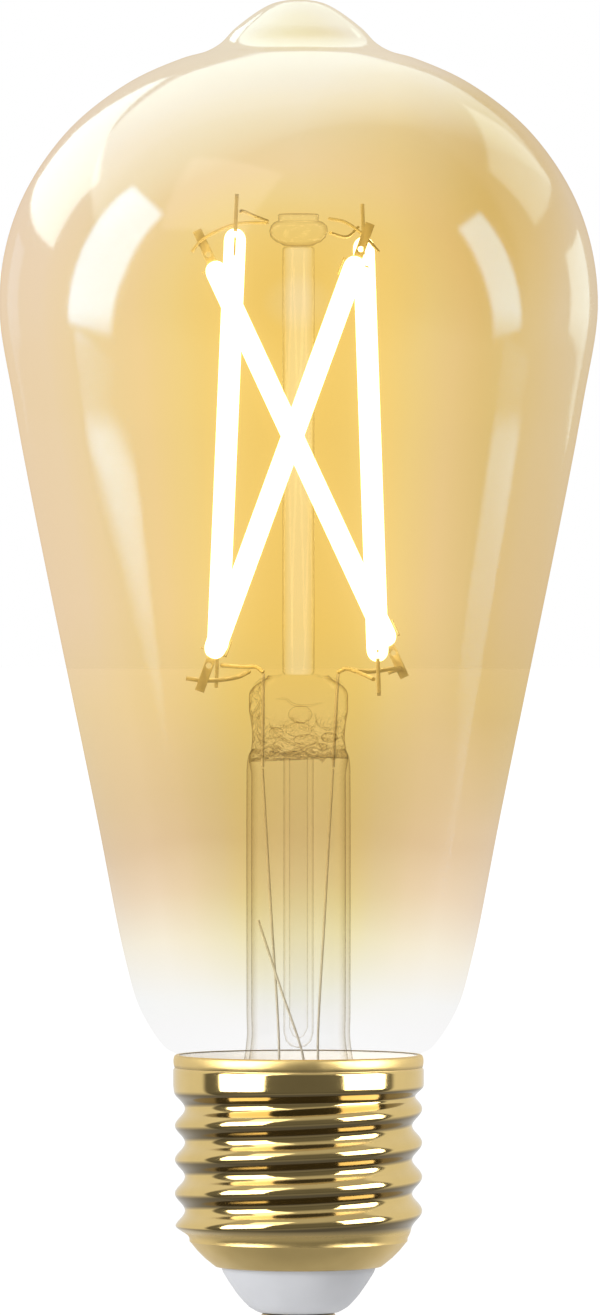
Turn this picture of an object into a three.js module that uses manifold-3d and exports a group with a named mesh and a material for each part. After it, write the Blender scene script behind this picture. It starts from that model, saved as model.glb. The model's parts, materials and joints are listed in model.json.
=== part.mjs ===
// A smart filament light bulb: an amber teardrop envelope on an E27 screw cap, with a glass stem that
// carries four crossed LED filaments, and the driver and radio boards inside the cap.
// Millimetres. +Z runs up the bulb's axis from the tip of the centre contact, and -Y is the front.
import * as THREE from "three";
import { mergeVertices } from "three/addons/utils/BufferGeometryUtils.js";
import Module from "manifold-3d";

const wasm = await Module();
wasm.setup();

// Envelope: blown glass, 64 mm across. [radius, height] from the seal-off nub down to the sealed neck.
const ENVELOPE_OUTLINE = [
  [0, 143.1],
  [3.0, 142.5],
  [6.7, 140.0],
  [8.4, 138.3],
  [10.0, 137.4],
  [12.7, 136.6],
  [18.5, 133.9],
  [25.1, 128.5],
  [30.1, 120.5],
  [32.0, 111.2],
  [30.3, 99.2],
  [21.7, 56.4],
  [18.5, 40.4],
  [16.9, 35.1],
  [14.2, 31.0],
  [12.9, 30.35],
  [12.0, 29.5],
  [11.4, 28.2],
  [11.2, 25.0],
];
const ENVELOPE_WALL = 0.8;

// E27 screw cap: 3.629 mm pitch and 26.45 mm over the crests.
const THREAD_PITCH = 3.629;
const THREAD_CREST = 13.22;
const THREAD_ROOT = 12.15;
const THREAD_PHASE_HEIGHT = 10.03;
const THREAD_STARTS = 10.6;
const THREAD_ENDS = 25.5;
const THREAD_FADE = 1.6;
const ROOT_TAPER = 0.5;
const COLLAR_RADIUS = 13.4;
const COLLAR_BASE = 27.1;
const CAP_RIM = 30.2;
const SHEET = 0.35;
const SKIRT_OUTLINE = [
  [8.7, 7.7],
  [10.0, 8.6],
  [10.8, 9.4],
  [11.45, 10.2],
];

// Glass stem.
const FLARE_RADIUS = 5.55;
const FLARE_TOP = 61.2;
const FLARE_FOOT = 25.4;
const FLARE_FOOT_RADIUS = 10.2;
const STEM_WALL = 0.8;
const EXHAUST_RADIUS = 1.6;
const EXHAUST_WALL = 0.6;
const EXHAUST_TIP = 31.0;
const PRESS_BASE = 61.4;
const PRESS_TOP = 70.8;
const PRESS_DEPTH = 4.0;
const COLUMN_RADIUS = 1.7;
const COLUMN_TOP = 116.6;
const BUTTON_OUTLINE = [
  [0, 116.75],
  [1.7, 116.8],
  [3.0, 117.5],
  [3.15, 118.6],
  [2.85, 119.6],
  [2.38, 120.1],
  [0, 120.1],
];
const SEAL_WIRE_RADIUS = 0.18;
const SEAL_WIRES = {
  left: [[-3.84, 0, 61.0], [-3.76, 0, 71.0]],
  right: [[3.69, 0, 61.0], [4.22, 0, 71.0]],
};
const FIT_GAP = 0.1;

// LED filaments: the ends of each coated stick, and the side that its flat clips face.
const FILAMENTS = {
  front: { foot: [-9.1, -7.6, 73.0], head: [6.2, -7.6, 114.9], faces: [0, -1, 0] },
  left: { foot: [-8.7, 8.0, 73.5], head: [-6.7, -8.0, 117.8], faces: [-1, 0, 0] },
  right: { foot: [8.4, -8.0, 72.7], head: [7.0, 8.0, 117.6], faces: [1, 0, 0] },
  back: { foot: [9.7, 7.6, 74.3], head: [-9.2, 7.6, 115.0], faces: [0, 1, 0] },
};
const SLEEVE_RADIUS = 1.15;
const STRIP_WIDTH = 1.0;
const STRIP_DEPTH = 0.4;
const CLIP_LENGTH = 4.4;
const CLIP_WIDTH = 1.0;
const CLIP_DEPTH = 0.4;
const CLIP_BAR_WIDTH = 3.0;
const CLIP_BAR_HEIGHT = 0.5;
const CLIP_HOLE_RADIUS = 0.32;
const CLIP_HOLE_HEIGHT = 1.35;
const TOP_WIRE_RADIUS = 0.16;
const LEAD_RADIUS = 0.22;
const OUTER_LEAD_RADIUS = 0.16;
const WELD_OFFSET = CLIP_DEPTH / 2 + LEAD_RADIUS + FIT_GAP;

// Driver board: stands upright in the cap.
const BOARD_HALF_WIDTH = 10.4;
const BOARD_FOOT_HALF_WIDTH = 8.0;
const BOARD_BASE = 9.4;
const BOARD_SHOULDER = 12.0;
const BOARD_TOP = 23.6;
const BOARD_DEPTH = 1.0;

const FACETS = 36;
const STEM_FACETS = 24;
const SMALL_FACETS = 16;
const WIRE_FACETS = 6;

const FINISHES = {
  amberGlass: { color: 0xe6b45a, roughness: 0.04, metalness: 0, transparent: true, opacity: 0.35 },
  stemGlass: { color: 0xd9d3c2, roughness: 0.05, metalness: 0, transparent: true, opacity: 0.45 },
  phosphor: { color: 0xffe7a8, roughness: 0.6, metalness: 0 },
  ceramic: { color: 0xf3f1ea, roughness: 0.5, metalness: 0 },
  nickelWire: { color: 0xb8a98c, roughness: 0.35, metalness: 1 },
  copperWire: { color: 0xb06a3c, roughness: 0.4, metalness: 1 },
  goldCap: { color: 0xc8a86a, roughness: 0.22, metalness: 1 },
  insulation: { color: 0xdedfe3, roughness: 0.4, metalness: 0 },
  contactMetal: { color: 0xb08d55, roughness: 0.35, metalness: 1 },
  cement: { color: 0xd8d2c4, roughness: 0.9, metalness: 0 },
  board: { color: 0x1f5a36, roughness: 0.5, metalness: 0 },
  shield: { color: 0xb9bcc0, roughness: 0.35, metalness: 1 },
  capacitorSleeve: { color: 0x22304a, roughness: 0.45, metalness: 0 },
  ferrite: { color: 0x3a3a3c, roughness: 0.8, metalness: 0 },
  blackResin: { color: 0x1b1b1d, roughness: 0.55, metalness: 0 },
  filmResin: { color: 0xb5452c, roughness: 0.5, metalness: 0 },
  fuseCoat: { color: 0x7fa07c, roughness: 0.6, metalness: 0 },
  redWire: { color: 0x9c2a22, roughness: 0.5, metalness: 0 },
};

const bulb = new THREE.Group();

function addPiece(name, geometry, finish, parent = bulb) {
  const mesh = new THREE.Mesh(geometry, new THREE.MeshStandardMaterial(FINISHES[finish]));
  mesh.name = name;
  parent.add(mesh);
  return mesh;
}

// Turns [radius, height] points about the Z axis. They run up the outside, or down the inside.
function turned(profile, facets) {
  const points = profile.map(([radius, height]) => new THREE.Vector2(radius, height));
  return new THREE.LatheGeometry(points, facets).rotateX(Math.PI / 2);
}

// A smooth curve through hand-set [radius, height] points.
function smooth(outline, perSpan) {
  const points = outline.map(([radius, height]) => new THREE.Vector3(radius, height, 0));
  const curve = new THREE.CatmullRomCurve3(points, false, "centripetal");
  const sampled = curve.getPoints((outline.length - 1) * perSpan);
  return sampled.map((point) => [Math.max(point.x, 0), point.y]);
}

// The same outline moved by the wall's thickness, to the right of its direction of travel.
function inset(outline, wall) {
  return outline.map(([radius, height], i) => {
    const [radiusBefore, heightBefore] = outline[Math.max(i - 1, 0)];
    const [radiusAfter, heightAfter] = outline[Math.min(i + 1, outline.length - 1)];
    const run = radiusAfter - radiusBefore;
    const rise = heightAfter - heightBefore;
    const length = Math.hypot(run, rise);
    return [Math.max(radius + (wall * rise) / length, 0), height - (wall * run) / length];
  });
}

// A wire of round section along a smooth path.
function wire(points, radius, stepsPerSpan = 4) {
  const corners = [];
  for (let i = 0; i < WIRE_FACETS; i++) {
    const angle = (2 * Math.PI * i) / WIRE_FACETS;
    corners.push(new THREE.Vector2(radius * Math.cos(angle), radius * Math.sin(angle)));
  }
  const route = points.map((point) => new THREE.Vector3(...point));
  const path = new THREE.CatmullRomCurve3(route, false, "centripetal");
  const steps = (points.length - 1) * stepsPerSpan;
  return new THREE.ExtrudeGeometry(new THREE.Shape(corners), { steps, extrudePath: path, bevelEnabled: false });
}

function box(width, depth, height, x, y, z) {
  return new THREE.BoxGeometry(width, depth, height).translate(x, y, z);
}

// A cylinder along Z, from its foot upwards.
function post(radius, height, x, y, z, facets = SMALL_FACETS) {
  const cylinder = new THREE.CylinderGeometry(radius, radius, height, facets).rotateX(Math.PI / 2);
  return cylinder.translate(x, y, z + height / 2);
}

function solidOf(geometry) {
  const bare = geometry.clone();
  bare.deleteAttribute("normal");
  bare.deleteAttribute("uv");
  const merged = mergeVertices(bare, 1e-4);
  const vertProperties = merged.attributes.position.array;
  const triVerts = new Uint32Array(merged.index.array);
  return new wasm.Manifold(new wasm.Mesh({ numProp: 3, vertProperties, triVerts }));
}

function geometryOf(solid) {
  const { vertProperties, triVerts } = solid.getMesh();
  const geometry = new THREE.BufferGeometry();
  geometry.setAttribute("position", new THREE.BufferAttribute(vertProperties, 3));
  geometry.setIndex(new THREE.BufferAttribute(triVerts, 1));
  return geometry;
}

// ---- Envelope and stem ----

function makeEnvelope() {
  const outside = smooth(ENVELOPE_OUTLINE, 2);
  const inside = inset(smooth(ENVELOPE_OUTLINE, 1), ENVELOPE_WALL);
  const profile = [...inside, ...outside.reverse()];
  addPiece("glass_bulb", turned(profile, FACETS), "amberGlass");
}

function makeStem() {
  const flareOutside = smooth(
    [
      [FLARE_RADIUS, FLARE_TOP],
      [FLARE_RADIUS, 31.8],
      [6.3, 28.4],
      [8.2, 26.4],
      [FLARE_FOOT_RADIUS, FLARE_FOOT],
    ],
    3,
  );
  const flareInside = inset(flareOutside, STEM_WALL);
  const flare = [...flareInside, ...flareOutside.reverse(), flareInside[0]];
  addPiece("stem_flare", turned(flare, STEM_FACETS), "stemGlass");

  const tip = EXHAUST_RADIUS;
  const exhaustOutside = smooth([[0, EXHAUST_TIP], [tip * 0.75, EXHAUST_TIP + 0.6], [tip, EXHAUST_TIP + tip]], 2);
  exhaustOutside.push([tip, FLARE_TOP]);
  const bore = tip - EXHAUST_WALL;
  const exhaustInside = [[bore, FLARE_TOP], [bore, EXHAUST_TIP + tip], [0, EXHAUST_TIP + EXHAUST_WALL + 0.4]];
  addPiece("exhaust_tube", turned([...exhaustOutside, ...exhaustInside], SMALL_FACETS), "stemGlass");

  // The press: tube squashed flat round the two seal wires, with rounded shoulders.
  const press = new THREE.Shape();
  press.moveTo(-5.1, PRESS_BASE);
  press.lineTo(5.1, PRESS_BASE);
  press.quadraticCurveTo(4.9, 63.5, 5.3, 66.0);
  press.quadraticCurveTo(5.9, 69.4, 4.5, 70.4);
  press.quadraticCurveTo(3.4, 70.9, COLUMN_RADIUS, PRESS_TOP);
  press.lineTo(-COLUMN_RADIUS, PRESS_TOP);
  press.quadraticCurveTo(-3.4, 70.9, -4.2, 70.4);
  press.quadraticCurveTo(-5.9, 69.4, -5.3, 66.0);
  press.quadraticCurveTo(-4.9, 63.5, -5.1, PRESS_BASE);
  const block = new THREE.ExtrudeGeometry(press, { depth: PRESS_DEPTH, bevelEnabled: false, curveSegments: 4 });
  block.rotateX(Math.PI / 2).translate(0, PRESS_DEPTH / 2, 0);
  let solid = solidOf(block);
  for (const [side, ends] of Object.entries(SEAL_WIRES)) {
    addPiece(`seal_wire_${side}`, wire(ends, SEAL_WIRE_RADIUS, 1), "copperWire");
    solid = solid.subtract(solidOf(wire(ends, SEAL_WIRE_RADIUS + FIT_GAP, 1)));
  }
  addPiece("stem_press", geometryOf(solid), "stemGlass");

  const columnFoot = PRESS_TOP + FIT_GAP;
  addPiece("support_column", post(COLUMN_RADIUS, COLUMN_TOP - columnFoot, 0, 0, columnFoot), "stemGlass");
  addPiece("column_button", turned(BUTTON_OUTLINE, SMALL_FACETS), "stemGlass");
}

// ---- LED filaments ----

// The frame of one filament: Z along it from its foot, Y towards the side that its clips face.
function filamentFrame({ foot, head, faces }) {
  const start = new THREE.Vector3(...foot);
  const along = new THREE.Vector3(...head).sub(start);
  const length = along.length();
  along.normalize();
  const outward = new THREE.Vector3(...faces);
  outward.addScaledVector(along, -outward.dot(along)).normalize();
  const across = new THREE.Vector3().crossVectors(outward, along);
  return { start, along, outward, across, length };
}

// A point on the inner face of a clip, at a distance from the foot along the filament.
function weldPoint(name, distance, sideways = 0) {
  const { start, along, outward, across } = filamentFrame(FILAMENTS[name]);
  const point = start.clone().addScaledVector(along, distance);
  point.addScaledVector(outward, -WELD_OFFSET).addScaledVector(across, sideways);
  return point.toArray();
}

// A flat stamped pin with a cross-bar at the stick's end and a small round hole above it.
function clipGeometry() {
  const half = CLIP_WIDTH / 2;
  const barHalf = CLIP_BAR_WIDTH / 2;
  const outline = new THREE.Shape();
  outline.moveTo(-barHalf, 0);
  outline.lineTo(barHalf, 0);
  outline.lineTo(barHalf, CLIP_BAR_HEIGHT);
  outline.lineTo(half, CLIP_BAR_HEIGHT);
  outline.lineTo(half, CLIP_LENGTH);
  outline.lineTo(-half, CLIP_LENGTH);
  outline.lineTo(-half, CLIP_BAR_HEIGHT);
  outline.lineTo(-barHalf, CLIP_BAR_HEIGHT);
  const hole = new THREE.Path();
  hole.absarc(0, CLIP_HOLE_HEIGHT, CLIP_HOLE_RADIUS, 0, 2 * Math.PI, true);
  outline.holes.push(hole);
  const plate = new THREE.ExtrudeGeometry(outline, { depth: CLIP_DEPTH, bevelEnabled: false, curveSegments: 6 });
  return plate.translate(0, 0, -CLIP_DEPTH / 2).rotateX(Math.PI / 2);
}

function makeFilament(name) {
  const { start, along, outward, across, length } = filamentFrame(FILAMENTS[name]);
  const frame = new THREE.Group();
  frame.quaternion.setFromRotationMatrix(new THREE.Matrix4().makeBasis(across, outward, along));
  frame.position.copy(start);
  bulb.add(frame);

  const round = new THREE.Shape().absarc(0, 0, SLEEVE_RADIUS, 0, 2 * Math.PI);
  const slotX = STRIP_WIDTH / 2 + FIT_GAP;
  const slotY = STRIP_DEPTH / 2 + FIT_GAP;
  const slot = [[-slotX, -slotY], [-slotX, slotY], [slotX, slotY], [slotX, -slotY]];
  round.holes.push(new THREE.Path(slot.map(([x, y]) => new THREE.Vector2(x, y))));
  const sleeve = new THREE.ExtrudeGeometry(round, { depth: length, bevelEnabled: false, curveSegments: 6 });
  addPiece(`filament_${name}_phosphor`, sleeve, "phosphor", frame);
  addPiece(`filament_${name}_strip`, box(STRIP_WIDTH, STRIP_DEPTH, length, 0, 0, length / 2), "ceramic", frame);

  const headClip = addPiece(`filament_${name}_clip_top`, clipGeometry(), "nickelWire", frame);
  headClip.position.z = length + FIT_GAP;
  const footClip = addPiece(`filament_${name}_clip_bottom`, clipGeometry(), "nickelWire", frame);
  footClip.rotation.y = Math.PI;
  footClip.position.z = -FIT_GAP;
}

// ---- Wires inside the envelope ----

function makeWires() {
  const head = (name) => filamentFrame(FILAMENTS[name]).length;

  // Four stiff wires run from the button at the top of the column to the upper clips.
  const leftWeld = weldPoint("left", head("left") + 2.4);
  const backWeld = weldPoint("back", head("back") + 2.9);
  const frontWeld = weldPoint("front", head("front") + 2.6);
  const rightWeld = weldPoint("right", head("right") + 1.6);
  const topWires = {
    left: [[-3.3, -0.35, 119.35], [-4.4, -1.8, 119.7], leftWeld, weldPoint("left", head("left") + 1.9, 0.9)],
    back: [[-3.3, 0.35, 119.2], [-6.8, 4.2, 119.2], backWeld, weldPoint("back", head("back") + 2.2, -1.5)],
    front: [[3.3, -0.35, 119.6], [5.1, -4.0, 119.0], frontWeld, weldPoint("front", head("front") + 1.6, -1.9)],
    right: [[3.4, 0.4, 118.1], [5.2, 4.8, 117.9], rightWeld],
  };
  for (const [name, points] of Object.entries(topWires)) {
    addPiece(`top_wire_${name}`, wire(points, TOP_WIRE_RADIUS), "nickelWire");
  }

  // Each lead rises from the press and feeds one lower clip, and a branch feeds its neighbour's.
  const leftFoot = weldPoint("left", -1.7);
  const frontFoot = weldPoint("front", -2.9);
  const rightFoot = weldPoint("right", -2.4);
  const backFoot = weldPoint("back", -3.0);
  const leads = {
    lead_left: [[-3.76, 0, 71.15], [-4.5, 0.5, 71.7], [-5.6, 1.4, 71.7], leftFoot],
    lead_left_branch: [[-5.3, 0.4, 71.2], [-6.6, -2.4, 70.6], frontFoot, weldPoint("front", -3.3, 1.8)],
    lead_right: [[4.22, 0, 71.15], [5.0, -0.4, 71.5], [6.2, -3.0, 71.2], rightFoot],
    lead_right_branch: [[5.8, 0.1, 71.4], [7.6, 3.0, 71.2], backFoot, weldPoint("back", -2.9, -1.4)],
  };
  for (const [name, points] of Object.entries(leads)) {
    addPiece(name, wire(points, LEAD_RADIUS), "nickelWire");
  }
}

// ---- Wires from the stem down to the driver ----

function makeOuterLeads() {
  const left = [[-3.84, 0, 60.85], [-2.95, 0, 46], [-2.08, 0, 30.8], [-2.2, -0.5, 26.5], [-2.4, -0.9, 22.8]];
  const right = [[3.69, 0, 60.85], [2.85, 0, 46], [2.06, 0, 30.2], [2.4, -0.5, 26.5], [2.6, -0.9, 23.2]];
  addPiece("outer_lead_left", wire(left, OUTER_LEAD_RADIUS, 3), "copperWire");
  addPiece("outer_lead_right", wire(right, OUTER_LEAD_RADIUS, 3), "copperWire");

  // The radio's aerial stands up into the flare, in front of the exhaust tube.
  const aerial = [[-4.3, -1.0, 44.7], [-1.9, -1.8, 37.4], [0.5, -2.4, 30.1], [0.6, -1.3, 27.0], [0.8, 1.1, 23.9]];
  addPiece("antenna_wire", wire(aerial, OUTER_LEAD_RADIUS, 3), "copperWire");
}

// ---- Cap ----

// Outer radius of the screw shell: a right-hand thread that rises out of the skirt and runs into the collar.
function shellRadius(height, angle) {
  const turns = (height - THREAD_PHASE_HEIGHT) / THREAD_PITCH - angle / (2 * Math.PI);
  const crest = 0.5 + 0.5 * Math.cos(2 * Math.PI * turns);
  const rise = THREE.MathUtils.smoothstep(height, THREAD_STARTS, THREAD_STARTS + THREAD_FADE);
  const thread = THREAD_ROOT - ROOT_TAPER * (1 - rise) + (THREAD_CREST - THREAD_ROOT) * crest * rise;
  const flare = THREE.MathUtils.smoothstep(height, THREAD_ENDS, COLLAR_BASE);
  return thread + (COLLAR_RADIUS - thread) * flare;
}

function makeScrewShell() {
  const rows = SKIRT_OUTLINE.map(([radius, height]) => ({ height, radiusAt: () => radius }));
  const rise = THREAD_PITCH / 5;
  for (let height = THREAD_STARTS; height < COLLAR_BASE; height += rise) {
    rows.push({ height, radiusAt: (angle) => shellRadius(height, angle) });
  }
  for (const height of [COLLAR_BASE, CAP_RIM]) rows.push({ height, radiusAt: () => COLLAR_RADIUS });

  // One closed loop of rings: up the outside, then down the inside.
  const outside = rows.map((row) => ({ ...row, inward: 0 }));
  const inside = rows.map((row) => ({ ...row, inward: SHEET })).reverse();
  const rings = [...outside, ...inside];
  const positions = [];
  for (const { height, radiusAt, inward } of rings) {
    for (let i = 0; i < FACETS; i++) {
      const angle = (2 * Math.PI * i) / FACETS;
      const radius = radiusAt(angle) - inward;
      positions.push(radius * Math.cos(angle), radius * Math.sin(angle), height);
    }
  }
  const triangles = [];
  rings.forEach((ring, r) => {
    const here = r * FACETS;
    const above = ((r + 1) % rings.length) * FACETS;
    for (let i = 0; i < FACETS; i++) {
      const next = (i + 1) % FACETS;
      triangles.push(here + i, here + next, above + next);
      triangles.push(here + i, above + next, above + i);
    }
  });
  const geometry = new THREE.BufferGeometry();
  geometry.setAttribute("position", new THREE.Float32BufferAttribute(positions, 3));
  geometry.setIndex(triangles);
  addPiece("screw_shell", geometry, "goldCap");
}

function makeCapFittings() {
  makeScrewShell();
  const cementFoot = COLLAR_BASE + 0.2;
  const cement = [[12.15, cementFoot], [12.95, cementFoot], [12.95, 29.3], [12.15, 29.3], [12.15, cementFoot]];
  addPiece("cap_cement", turned(cement, FACETS), "cement");

  const rivetHole = 1.5;
  const insulator = [
    [rivetHole, 2.8],
    [4.1, 2.8],
    [4.6, 3.0],
    [5.3, 3.4],
    [5.8, 3.9],
    [6.5, 4.7],
    [7.4, 6.0],
    [8.2, 7.3],
    [8.2, 8.5],
    [6.8, 8.5],
    [5.4, 6.4],
    [rivetHole, 5.8],
    [rivetHole, 2.8],
  ];
  addPiece("insulator", turned(insulator, FACETS), "insulation");

  const contact = [
    [0, 0],
    [2.6, 0],
    [3.4, 0.35],
    [3.9, 1.1],
    [4.0, 2.7],
    [1.35, 2.7],
    [1.35, 6.2],
    [0, 6.2],
  ];
  addPiece("centre_contact", turned(contact, FACETS), "contactMetal");
}

// ---- Driver and radio ----

function makeElectronics() {
  const outline = new THREE.Shape();
  outline.moveTo(-BOARD_FOOT_HALF_WIDTH, BOARD_BASE);
  outline.lineTo(BOARD_FOOT_HALF_WIDTH, BOARD_BASE);
  outline.lineTo(BOARD_HALF_WIDTH, BOARD_SHOULDER);
  outline.lineTo(BOARD_HALF_WIDTH, BOARD_TOP);
  outline.lineTo(-BOARD_HALF_WIDTH, BOARD_TOP);
  outline.lineTo(-BOARD_HALF_WIDTH, BOARD_SHOULDER);
  const board = new THREE.ExtrudeGeometry(outline, { depth: BOARD_DEPTH, bevelEnabled: false });
  board.rotateX(Math.PI / 2).translate(0, BOARD_DEPTH / 2, 0);
  addPiece("driver_board", board, "board");

  addPiece("bulk_capacitor", post(3.0, 10, -5.2, -3.8, 11.2), "capacitorSleeve");
  addPiece("inductor", post(2.6, 5, 1.8, -3.5, 17.2), "ferrite");
  addPiece("film_capacitor", box(4.6, 3, 5.6, 7.0, -2.3, 18.4), "filmResin");
  const fuse = post(1.1, 6.5, 0, 0, -3.25).rotateY(Math.PI / 2).translate(5.6, -1.9, 13.2);
  addPiece("fuse_resistor", fuse, "fuseCoat");
  addPiece("bridge_rectifier", box(4.7, 1.6, 3.9, -5.5, 1.5, 11.8), "blackResin");
  addPiece("driver_chip", box(4.9, 1.5, 3.9, 1.6, 1.45, 11.8), "blackResin");
  addPiece("radio_board", box(12, 0.8, 8.6, 0, 1.1, 19.0), "board");
  addPiece("radio_shield", box(8.4, 1.9, 6.8, -0.6, 2.65, 18.6), "shield");

  const toContact = [[0.9, -1.0, 12.4], [0.6, -1.2, 9.2], [0, 0, 6.45]];
  addPiece("contact_wire", wire(toContact, 0.35), "redWire");
  const toShell = [[8.8, -1.0, 14.2], [10.0, -1.5, 15.4], [11.25, -2.0, 17.0]];
  addPiece("shell_wire", wire(toShell, 0.2), "copperWire");
}

makeEnvelope();
makeStem();
for (const name of Object.keys(FILAMENTS)) makeFilament(name);
makeWires();
makeOuterLeads();
makeCapFittings();
makeElectronics();

export default bulb;
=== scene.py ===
"""The looks of a smart filament light bulb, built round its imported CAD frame."""
import json
import math

import bmesh
import bpy
from mathutils import Matrix, Vector, noise


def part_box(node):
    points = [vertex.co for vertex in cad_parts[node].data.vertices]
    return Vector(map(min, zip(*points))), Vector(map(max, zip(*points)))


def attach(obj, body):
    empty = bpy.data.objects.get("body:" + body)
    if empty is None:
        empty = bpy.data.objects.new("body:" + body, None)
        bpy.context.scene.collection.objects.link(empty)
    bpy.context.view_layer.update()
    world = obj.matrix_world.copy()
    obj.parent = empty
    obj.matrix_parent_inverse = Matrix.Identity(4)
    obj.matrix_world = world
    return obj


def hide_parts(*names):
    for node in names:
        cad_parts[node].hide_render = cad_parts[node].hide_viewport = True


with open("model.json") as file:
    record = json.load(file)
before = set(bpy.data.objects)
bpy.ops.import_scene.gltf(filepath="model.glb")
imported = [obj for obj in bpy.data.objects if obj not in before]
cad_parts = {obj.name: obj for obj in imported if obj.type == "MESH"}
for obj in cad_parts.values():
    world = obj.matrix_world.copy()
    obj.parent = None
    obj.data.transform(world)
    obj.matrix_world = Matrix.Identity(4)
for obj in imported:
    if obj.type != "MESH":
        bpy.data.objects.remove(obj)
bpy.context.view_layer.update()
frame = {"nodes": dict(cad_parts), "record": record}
MM = 0.001
scene = bpy.context.scene

# ---------------------------------------------------------------------------------------------------
# Camera: level with the middle of the bulb, a metre in front of it
# ---------------------------------------------------------------------------------------------------
CAMERA_DISTANCE = 1.0
CAMERA_HEIGHT = 72.73 * MM
CAMERA_ASIDE = 0.16 * MM
VIEW_HEIGHT = 140.49 * MM
SENSOR = 24.0

# ---------------------------------------------------------------------------------------------------
# Shapes, in millimetres in the CAD frame: (radius, height) outlines and (x, y, z) paths
# ---------------------------------------------------------------------------------------------------
ENVELOPE_OUTLINE = [
    (0, 143.1), (3.0, 142.5), (6.7, 140.0), (8.4, 138.3), (10.0, 137.4), (12.7, 136.6), (18.5, 133.9),
    (25.1, 128.5), (30.1, 120.5), (32.0, 111.2), (30.3, 99.2), (21.7, 56.4), (18.5, 40.4), (16.9, 35.1),
    (14.2, 31.0), (12.9, 30.35), (12.0, 29.5), (11.4, 28.2), (11.2, 25.0),
]
ENVELOPE_WALL = 0.8
FLARE_OUTLINE = [
    (4.9, 63.0), (5.3, 62.4), (5.5, 61.4), (5.55, 59.5), (5.55, 35.0), (5.55, 31.8), (6.3, 28.4), (8.2, 26.4),
    (10.2, 25.4),
]
STEM_WALL = 0.5
EXHAUST_RADIUS = 1.6
EXHAUST_BORE = 1.0
EXHAUST_TOP = 62.0
PRESS_HALF_WIDTH = 5.3
PRESS_WAIST = 0.35
PRESS_HALF_DEPTH = 1.95
BUTTON_NECK_RADIUS = 2.12
THREAD_PITCH = 3.629
THREAD_CREST = 13.22
THREAD_ROOT = 12.15
THREAD_PHASE_HEIGHT = 10.03
THREAD_STARTS = 10.6
THREAD_ENDS = 25.5
THREAD_FADE = 1.6
ROOT_TAPER = 0.5
COLLAR_RADIUS = 13.4
COLLAR_BASE = 27.1
SHEET = 0.35
SLEEVE_RADIUS = 1.15
CLIP_HALF_WIDTH = 0.5
CLIP_LENGTH = 4.0
CLIP_DEPTH = 0.4
CLIP_HOLE_RADIUS = 0.32
CLIP_HOLE_HEIGHT = 1.1
CROSS_BAR_HALF = 1.45
LEAD_RADIUS = 0.22
TOP_WIRE_RADIUS = 0.16
SEAL_RADIUS = 0.18
OUTER_LEAD_RADIUS = 0.13
WELD = 0.72
FILAMENTS = ("front", "left", "right", "back")
OUTWARD = {"front": (0, -1, 0), "left": (-1, 0, 0), "right": (1, 0, 0), "back": (0, 1, 0)}


# ---------------------------------------------------------------------------------------------------
# Mesh tools: each gives points and faces, in millimetres
# ---------------------------------------------------------------------------------------------------
def spline(points, per_span):
    """Centripetal Catmull-Rom curve through the points, with per_span steps between neighbours."""
    pts = [Vector(tuple(p) + (0,) * (3 - len(p))) for p in points]
    pts = [pts[0] * 2 - pts[1]] + pts + [pts[-1] * 2 - pts[-2]]
    out = []
    for i in range(1, len(pts) - 2):
        p0, p1, p2, p3 = pts[i - 1 : i + 3]
        t0 = 0.0
        t1 = t0 + math.sqrt((p1 - p0).length)
        t2 = t1 + math.sqrt((p2 - p1).length)
        t3 = t2 + math.sqrt((p3 - p2).length)
        for k in range(per_span):
            t = t1 + (t2 - t1) * k / per_span
            a1 = p0 * ((t1 - t) / (t1 - t0)) + p1 * ((t - t0) / (t1 - t0))
            a2 = p1 * ((t2 - t) / (t2 - t1)) + p2 * ((t - t1) / (t2 - t1))
            a3 = p2 * ((t3 - t) / (t3 - t2)) + p3 * ((t - t2) / (t3 - t2))
            b1 = a1 * ((t2 - t) / (t2 - t0)) + a2 * ((t - t0) / (t2 - t0))
            b2 = a2 * ((t3 - t) / (t3 - t1)) + a3 * ((t - t1) / (t3 - t1))
            out.append(b1 * ((t2 - t) / (t2 - t1)) + b2 * ((t - t1) / (t2 - t1)))
    out.append(pts[-2])
    return out


def inset(profile, wall):
    """The profile moved to the right of its travel. wall gives the thickness at a height."""
    out = []
    for i, (r, z) in enumerate(profile):
        r0, z0 = profile[max(i - 1, 0)]
        r1, z1 = profile[min(i + 1, len(profile) - 1)]
        share = wall(z) / math.hypot(r1 - r0, z1 - z0)
        out.append((max(r + share * (z1 - z0), 0), z - share * (r1 - r0)))
    return out


def lathe(profile, segments, closed=False, wobble=None):
    """A profile of (radius, height) turned about Z. wobble moves a point's radius."""
    verts, faces, rings = [], [], []
    for r, z in profile:
        if r < 1e-6:
            rings.append([len(verts)] * segments)
            verts.append(Vector((0, 0, z)))
            continue
        rings.append(list(range(len(verts), len(verts) + segments)))
        for i in range(segments):
            a = 2 * math.pi * i / segments
            rr = r + (wobble(r, z, a) if wobble else 0)
            verts.append(Vector((rr * math.cos(a), rr * math.sin(a), z)))
    count = len(rings) if closed else len(rings) - 1
    for j in range(count):
        low, high = rings[j], rings[(j + 1) % len(rings)]
        for i in range(segments):
            k = (i + 1) % segments
            loop = [low[i], low[k], high[k], high[i]]
            face = [v for n, v in enumerate(loop) if v != loop[n - 1]]
            if len(face) > 2:
                faces.append(face)
    return verts, faces


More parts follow.
